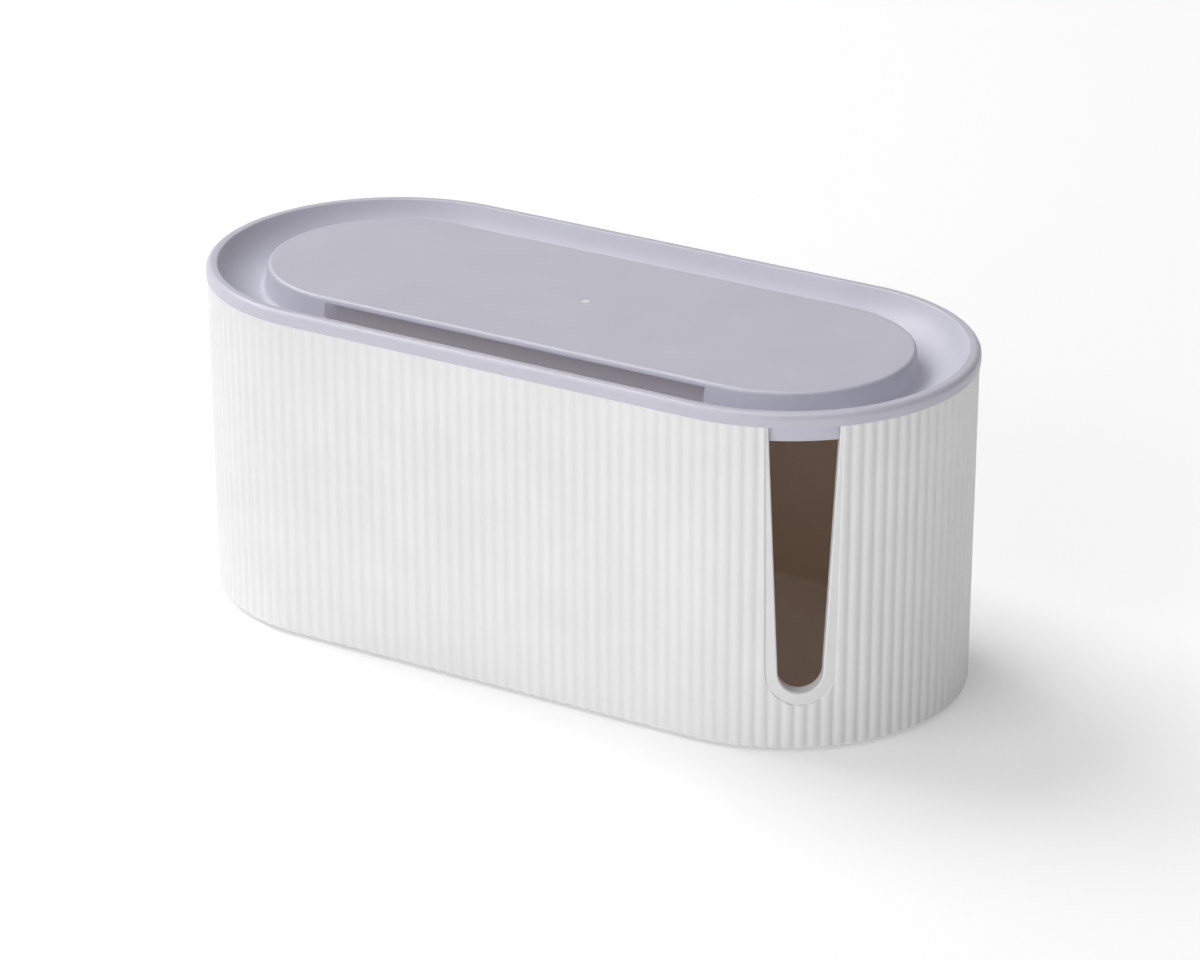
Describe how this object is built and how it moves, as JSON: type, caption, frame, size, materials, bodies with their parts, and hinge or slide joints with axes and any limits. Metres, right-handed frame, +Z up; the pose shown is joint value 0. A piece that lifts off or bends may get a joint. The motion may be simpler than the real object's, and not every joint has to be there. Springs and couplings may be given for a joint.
{
  "type": "cable management box with lid",
  "caption": "Fluted pill-shaped cable box with U-shaped cable outlets and a lift-off lid with a slotted raised plateau.",
  "frame": {"origin": "on the table under the middle of the box", "axes": "+X along the length, towards the end with the front cable outlet; +Y to the back; +Z up"},
  "size_m": [0.31, 0.14, 0.13],
  "materials": {
    "box_white": "satin moulded polypropylene, white",
    "lid_lavender": "satin moulded polypropylene, pale lavender grey",
    "foot_rubber": "matt grey silicone rubber"
  },
  "bodies": {
    "box": {"box_body": "box_white", "foot_front_left": "foot_rubber", "foot_front_right": "foot_rubber", "foot_back_left": "foot_rubber", "foot_back_right": "foot_rubber"},
    "lid": {"lid": "lid_lavender"}
  },
  "joints": [
    {"name": "lid_lift", "type": "slide", "parent": "box", "child": "lid", "axis": [0, 0, 1], "range_m": [0, 0.09]}
  ]
}
